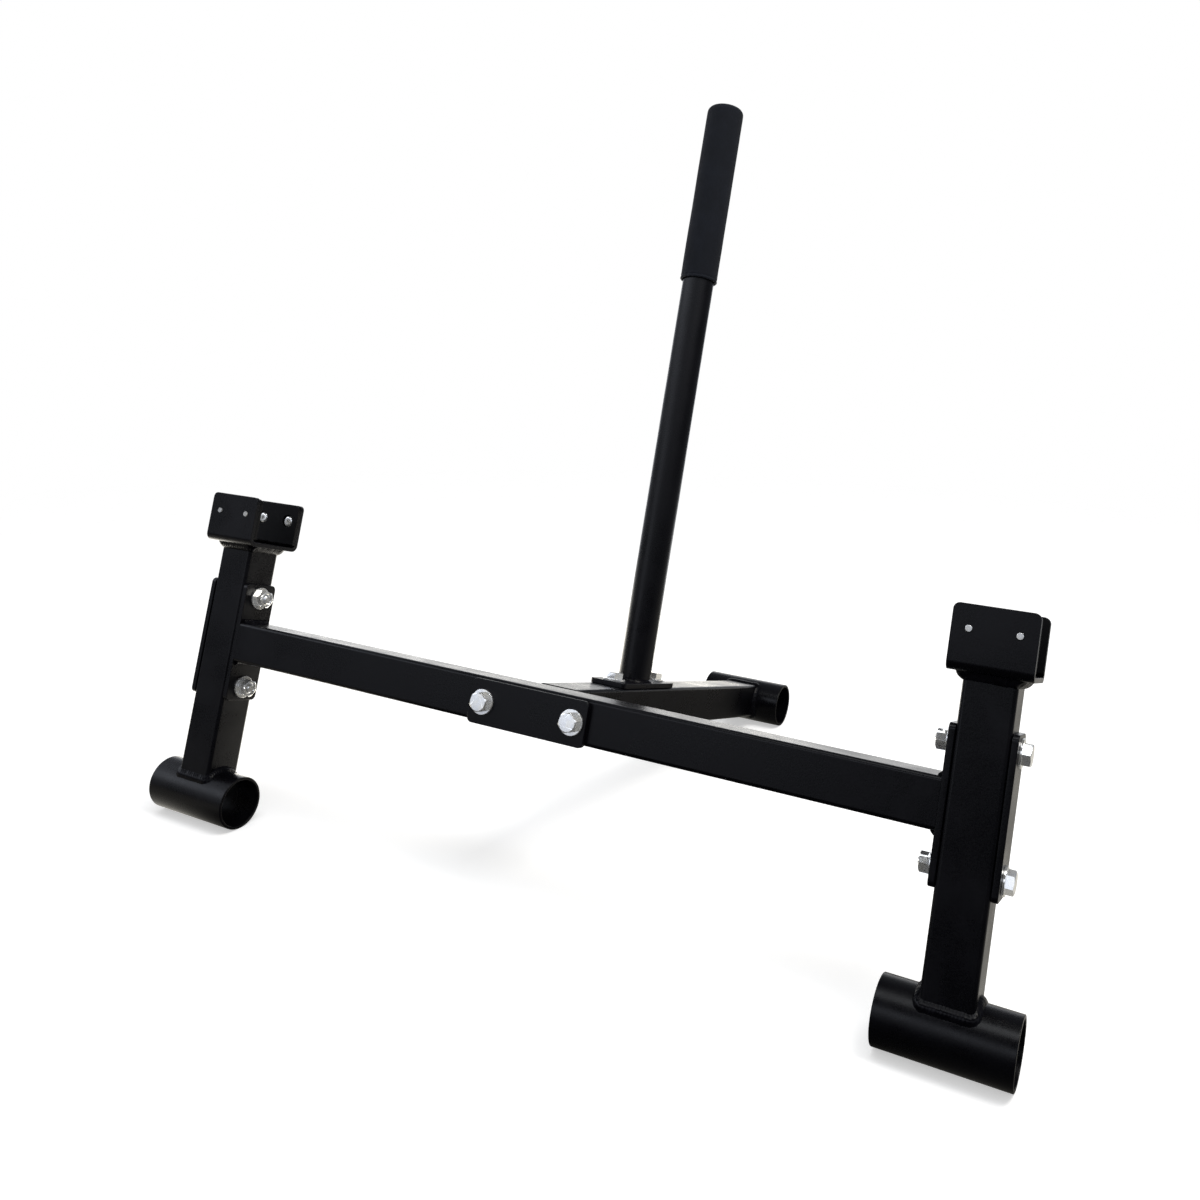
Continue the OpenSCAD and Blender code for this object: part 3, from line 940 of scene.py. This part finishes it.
def hex_nut(sizes):
    """A nut on Z = 0 with both ends chamfered, its bore clear of the thread and countersunk"""
    height = sizes.nut_height
    bore = sizes.bolt_diameter / 2 + 0.2 * MM
    sink = sizes.nut_countersink
    spare = MM
    nut = hexagon(sizes, height)
    face = sizes.hex_flats / 2 * sizes.hex_face
    boolean(nut, turned(face, face + (height + spare) * CHAMFER_SLOPE, 0, height + spare),
            "INTERSECT")
    wide, narrow = bore + sink + spare, bore - spare
    for cutter in (
        (bore, bore, -spare, height + spare),
        (wide, narrow, -spare, sink + spare),
        (narrow, wide, height - sink - spare, height + spare),
    ):
        boolean(nut, turned(*cutter, SHANK_SIDES), "DIFFERENCE")
    soften(nut, sizes.fastener_edge, corner=22)
    return nut


class JACK_OT_fasteners(bpy.types.Operator):
    """Models the threaded bolts and the nuts, and softens the washers, of the four joints"""

    bl_idname = "jack.fasteners"
    bl_label = "Bolts, washers and nuts"

    def execute(self, context):
        sizes = context.scene.jack_sizes
        bolt_patterns = {}
        nut_pattern = hex_nut(sizes)
        for seed, (joint, (place, clamp)) in enumerate(joint_places(sizes).items(), 60):
            if clamp not in bolt_patterns:
                bolt_patterns[clamp] = hex_bolt(sizes, clamp)
            random.seed(seed)
            seat = clamp / 2 + sizes.washer_thickness
            bolts, nuts = [], []
            for side in (-1, 1):
                hole = STANDING @ place @ Matrix.Translation((side * sizes.bolt_pitch / 2, 0, 0))
                for pattern, made, turned_over in (
                    (bolt_patterns[clamp], bolts, 0), (nut_pattern, nuts, math.pi),
                ):
                    wrench_turn = Matrix.Rotation(math.radians(random.uniform(-25, 25)), 4, "Z")
                    made.append(copy_at(pattern, hole @ Matrix.Rotation(turned_over, 4, "X")
                                        @ Matrix.Translation((0, 0, seat)) @ wrench_turn))
            for made, kind in ((bolts, "bolts"), (nuts, "nuts")):
                piece = join(made, f"{joint}_hex_{kind}")
                hand_over(context, piece, f"{joint}_{kind}", "zinc_plate")
            dress(context, f"{joint}_washers", f"{joint}_zinc_washers",
                  sizes.fastener_edge, "zinc_plate", "zinc", corner=25)
        for pattern in (*bolt_patterns.values(), nut_pattern):
            bpy.data.objects.remove(pattern)
        return {"FINISHED"}


# Grip


class JACK_OT_foam_grip(bpy.types.Operator):
    """Models the foam grip as one closed sleeve with a rolled rim and a rounded, closed top"""

    bl_idname = "jack.foam_grip"
    bl_label = "Foam grip"

    def execute(self, context):
        sizes = context.scene.jack_sizes
        rings = self.profile(sizes)
        radius, height = rings[0]
        deselect_all()
        bpy.ops.mesh.primitive_circle_add(
            vertices=72, radius=radius, fill_type="TRIFAN", location=(0, 0, height)
        )
        grip = context.active_object
        bpy.ops.object.transform_apply(location=True)
        edit(grip)
        bpy.ops.mesh.region_to_loop()
        for (radius, height), (next_radius, next_height) in zip(rings, rings[1:]):
            bpy.ops.mesh.extrude_edges_move(
                TRANSFORM_OT_translate={"value": (0, 0, next_height - height)}
            )
            growth = next_radius / radius
            bpy.ops.transform.resize(value=(growth, growth, 1),
                                     center_override=(0, 0, next_height))
        bpy.ops.mesh.edge_face_add()
        bpy.ops.mesh.poke()
        to_object_mode()
        face_outward(grip)

        # Foam is never quite even: a slow swell of a quarter of a millimetre either way
        swell = bpy.data.textures.new("foam_swell", "CLOUDS")
        swell.noise_scale = 35 * MM
        uneven = grip.modifiers.new("Swell", "DISPLACE")
        uneven.texture = swell
        uneven.texture_coords = "LOCAL"
        uneven.strength = 0.5 * MM
        uneven.mid_level = 0.5
        rounded = grip.modifiers.new("Rounded", "SUBSURF")
        rounded.levels = rounded.render_levels = 1
        apply_modifiers(grip)
        bpy.ops.object.shade_smooth()
        set_in_place(grip, STANDING @ Matrix.Translation(
            (0, sizes.handle_reach, sizes.handle_top - sizes.grip_length)))
        grip.name = "foam_grip"
        hand_over(context, grip, "handle_grip", "cell_foam")
        return {"FINISHED"}

    @staticmethod
    def profile(sizes):
        """Radius and height of each ring, from the inside of the closed top down the bore,
        round the lip, up the outside and over to the middle of the top"""
        bore = sizes.handle_diameter / 2 + 0.2 * MM
        outer = sizes.handle_diameter / 2 + sizes.grip_wall
        top = sizes.grip_length
        cap = top - 5 * MM
        lip = 1.6 * MM
        rim = outer + sizes.grip_rim
        above_rim = 6.5 * MM
        rounding = sizes.grip_rounding
        shoulder = top - rounding
        rings = [(bore, cap), (bore, 0.55 * cap), (bore, 3 * MM), (bore + 0.2 * MM, 0.7 * MM)]
        for angle in range(-75, 61, 15):
            turn = math.radians(angle)
            rings.append((rim - lip + lip * math.cos(turn), lip + lip * math.sin(turn)))
        rings += [(outer + 0.15 * MM, 4.2 * MM), (outer, above_rim)]
        steps = 22
        for index in range(1, steps + 1):
            rings.append((outer, above_rim + (shoulder - above_rim) * index / steps))
        for angle in range(15, 91, 15):
            turn = math.radians(angle)
            rings.append((outer - rounding + rounding * math.cos(turn),
                          shoulder + rounding * math.sin(turn)))
        rings.append((0.5 * (outer - rounding), top + 0.15 * MM))
        return rings


# Studio


def area_lamp(name, place, target, size, power, shade):
    bpy.ops.object.light_add(type="AREA", location=place)
    lamp = bpy.context.active_object
    lamp.name = name
    lamp.rotation_euler = (Vector(target) - Vector(place)).to_track_quat("-Z", "Y").to_euler()
    lamp.data.shape = "RECTANGLE"
    lamp.data.size, lamp.data.size_y = size
    lamp.data.energy = power
    lamp.data.color = shade


def floor_paint(studio):
    """A pale floor, lit like the jack, that fades out before its edge. What the steel mirrors
    of it is painted apart: bright where the photographed steel is pale, and dark elsewhere."""
    paint = Finish("studio_floor")
    mottle = paint.noise(9, detail=3.0)
    pale = paint.mix(mottle, tinted(studio.floor, 0.99), tinted(studio.floor, 1.01))
    matte = paint.node("ShaderNodeBsdfDiffuse", {}, {"Color": pale})
    glow = paint.emission((1, 1, 1), paint.ray("Camera") * studio.floor_glow)
    lit = paint.node("ShaderNodeAddShader", {}, {0: matte, 1: glow})

    # Places are in metres: across to the right of the jack's middle, and back from it.
    across = paint.along(paint.place, (1, 0, 0))
    back = paint.along(paint.place, (0, 1, 0))
    rear_half = paint.spread(back, -0.35, -0.15)
    beside = paint.spread(across, 0.30, 0.42, 0, 0.3)
    # In reflections the floor is painted pale, starting farther back on the right than on the
    # left.
    # It dims in a painted shade where the top of the crossbeam mirrors the handle's shade, and is
    # brightest close behind, where the top of the rear beam mirrors it.
    behind = paint.spread(paint.along(paint.place, (-0.85, 0.53, 0)), 0.10, 0.24)
    shade_line = paint.spread(abs(across + 0.52), 0.12, 0.34, 0.35, 1)
    near = paint.spread(back, 0.60, 0.72, 2, 0) * paint.spread(across, -0.06, 0.04, 1, 0)
    pale_part = paint.maths("MAXIMUM", beside, behind * (shade_line + near))
    # In front of the jack the reflections show painted light only on the floor beyond its left
    # foot.
    far_left = paint.spread(across, -0.44, -0.34, 1, 0) * paint.spread(back, -0.2, -0.1, 1, 0)
    # Glossy rays see this painted reflection instead of the lit floor: a dim painted shade over
    # the rear half, the painted pale part on top, and the painted light at the far left.
    strength = (rear_half * (pale_part * studio.mirrored_floor + studio.shaded_floor)
                + far_left * studio.left_floor)
    # Warm near the jack, and neutral farther back
    cooler = paint.spread(back, 0.62, 0.80, 0, 0.5)
    tint = paint.mix(cooler, studio.mirrored_tint, studio.room_tint)
    seen = paint.mix_shaders(paint.ray("Glossy"), lit, paint.emission(tint, strength))

    away = paint.node("ShaderNodeVectorMath", {"operation": "LENGTH"}, {0: paint.place}, "Value")
    fade = paint.spread(away, studio.floor_radius * 0.3, studio.floor_radius * 0.9)
    return paint.close(paint.mix_shaders(fade, seen, paint.node("ShaderNodeBsdfTransparent")))


def room_light(studio):
    """Surroundings that are white to the camera. In reflections they are dim, darker in front,
    and lighter at the left, behind and in a band high in front and at the left. One low strip
    of light in front is for the bolt heads."""
    world = bpy.data.worlds.new("studio_room")
    world.use_nodes = True
    room = NodeTree(world.node_tree)
    direction = room.node("ShaderNodeTexCoord", output="Generated")
    height = room.along(direction, (0, 0, 1))
    front = room.spread(room.along(direction, (-0.30, -0.94, 0.16)), -0.2, 0.8,
                        studio.mirrored_room, studio.front)
    left = room.spread(room.along(direction, (-0.97, 0.2, 0.1)), 0.4, 0.95)
    back = room.spread(room.along(direction, (-0.45, 0.88, -0.15)), 0.8, 0.97)
    strip = (room.spread(abs(height - 0.21), 0.06, 0.13, 1, 0)
             * room.spread(room.along(direction, (-0.48, -0.86, 0.17)), 0.95, 0.985))
    high = (room.spread(height, 0.21, 0.56) * room.spread(height, 0.57, 0.69, 1, 0)
            * room.spread(room.along(direction, (-1, 0, 0)), -0.3, 0.9, 0.45, 1.1)
            * room.spread(room.along(direction, (0, 1, 0)), -0.05, 0.40, 1, 0))
    mirrored = (front + left * studio.left + back * studio.mirrored_floor
                + strip * studio.strip + high * studio.high)
    camera_ray = room.ray("Camera")
    mirror_ray = room.ray("Glossy") + room.ray("Transmission")
    strength = camera_ray + mirror_ray * mirrored + (1 - camera_ray - mirror_ray) * studio.room
    tint = room.mix(back * 0.5, studio.room_tint, studio.mirrored_tint)
    air = room.node("ShaderNodeBackground", {}, {
        "Color": room.mix(mirror_ray, (1, 1, 1), tint), "Strength": strength,
    })
    room.node("ShaderNodeOutputWorld", {}, {"Surface": air})
    return world


class JACK_OT_studio(bpy.types.Operator):
    """Sets up the pale floor, the soft lamps, the white surroundings and the camera"""

    bl_idname = "jack.studio"
    bl_label = "Studio"

    def execute(self, context):
        scene = context.scene
        studio = scene.jack_studio
        deselect_all()
        bpy.ops.mesh.primitive_circle_add(
            vertices=96, radius=studio.floor_radius, fill_type="NGON", location=(0, 0, 0)
        )
        floor = context.active_object
        floor.name = "studio_floor"
        floor.data.materials.append(floor_paint(studio))
        scene.world = room_light(studio)
        area_lamp("top_lamp", place=(0.15, -0.60, 2.1), target=(0, -0.1, 0.1),
                  size=(1.5, 0.7), power=studio.top_power, shade=(0.93, 0.96, 1))
        area_lamp("side_lamp", place=(1.05, -0.10, 1.95), target=(0, -0.1, 0.15),
                  size=(0.9, 0.7), power=studio.side_power, shade=(1, 0.97, 0.92))

        bpy.ops.object.camera_add(location=studio.camera_place, rotation=studio.camera_turn)
        camera = context.active_object
        camera.name = "studio_camera"
        camera.data.sensor_width = studio.sensor_width
        camera.data.lens = studio.focal_length
        camera.data.shift_x, camera.data.shift_y = studio.shift
        camera.data.clip_start = 10 * MM
        scene.camera = camera
        scene.view_settings.view_transform = "Standard"
        return {"FINISHED"}


# Panel and registration


class JACK_PT_pieces(bpy.types.Panel):
    """Lists the sizes, the finishes and the pieces of the jack"""

    bl_idname = "JACK_PT_pieces"
    bl_label = "Deadlift jack"
    bl_space_type = "VIEW_3D"
    bl_region_type = "UI"
    bl_category = "Jack"

    def draw(self, context):
        for name in GROUPS:
            group = getattr(context.scene, name)
            box = self.layout.box()
            for setting in group.__annotations__:
                box.prop(group, setting)
        for operator in OPERATORS:
            self.layout.operator(operator.bl_idname)


GROUPS = {"jack_sizes": JackSizes, "jack_finishes": JackFinishes, "jack_studio": JackStudio}
OPERATORS = (
    JACK_OT_studio,
    JACK_OT_frame_tubes,
    JACK_OT_joint_plates,
    JACK_OT_cradles,
    JACK_OT_weld_beads,
    JACK_OT_fasteners,
    JACK_OT_foam_grip,
)
CLASSES = (*GROUPS.values(), *OPERATORS, JACK_PT_pieces)


def register():
    for each in CLASSES:
        bpy.utils.register_class(each)
    for name, group in GROUPS.items():
        setattr(bpy.types.Scene, name, PointerProperty(type=group))


def unregister():
    for name in GROUPS:
        delattr(bpy.types.Scene, name)
    for each in reversed(CLASSES):
        bpy.utils.unregister_class(each)


def main():
    register()
    bpy.ops.jack.studio()
    bpy.ops.jack.frame_tubes()
    bpy.ops.jack.joint_plates()
    bpy.ops.jack.cradles()
    bpy.ops.jack.weld_beads()
    bpy.ops.jack.fasteners()
    bpy.ops.jack.foam_grip()


if __name__ == "__main__":
    main()
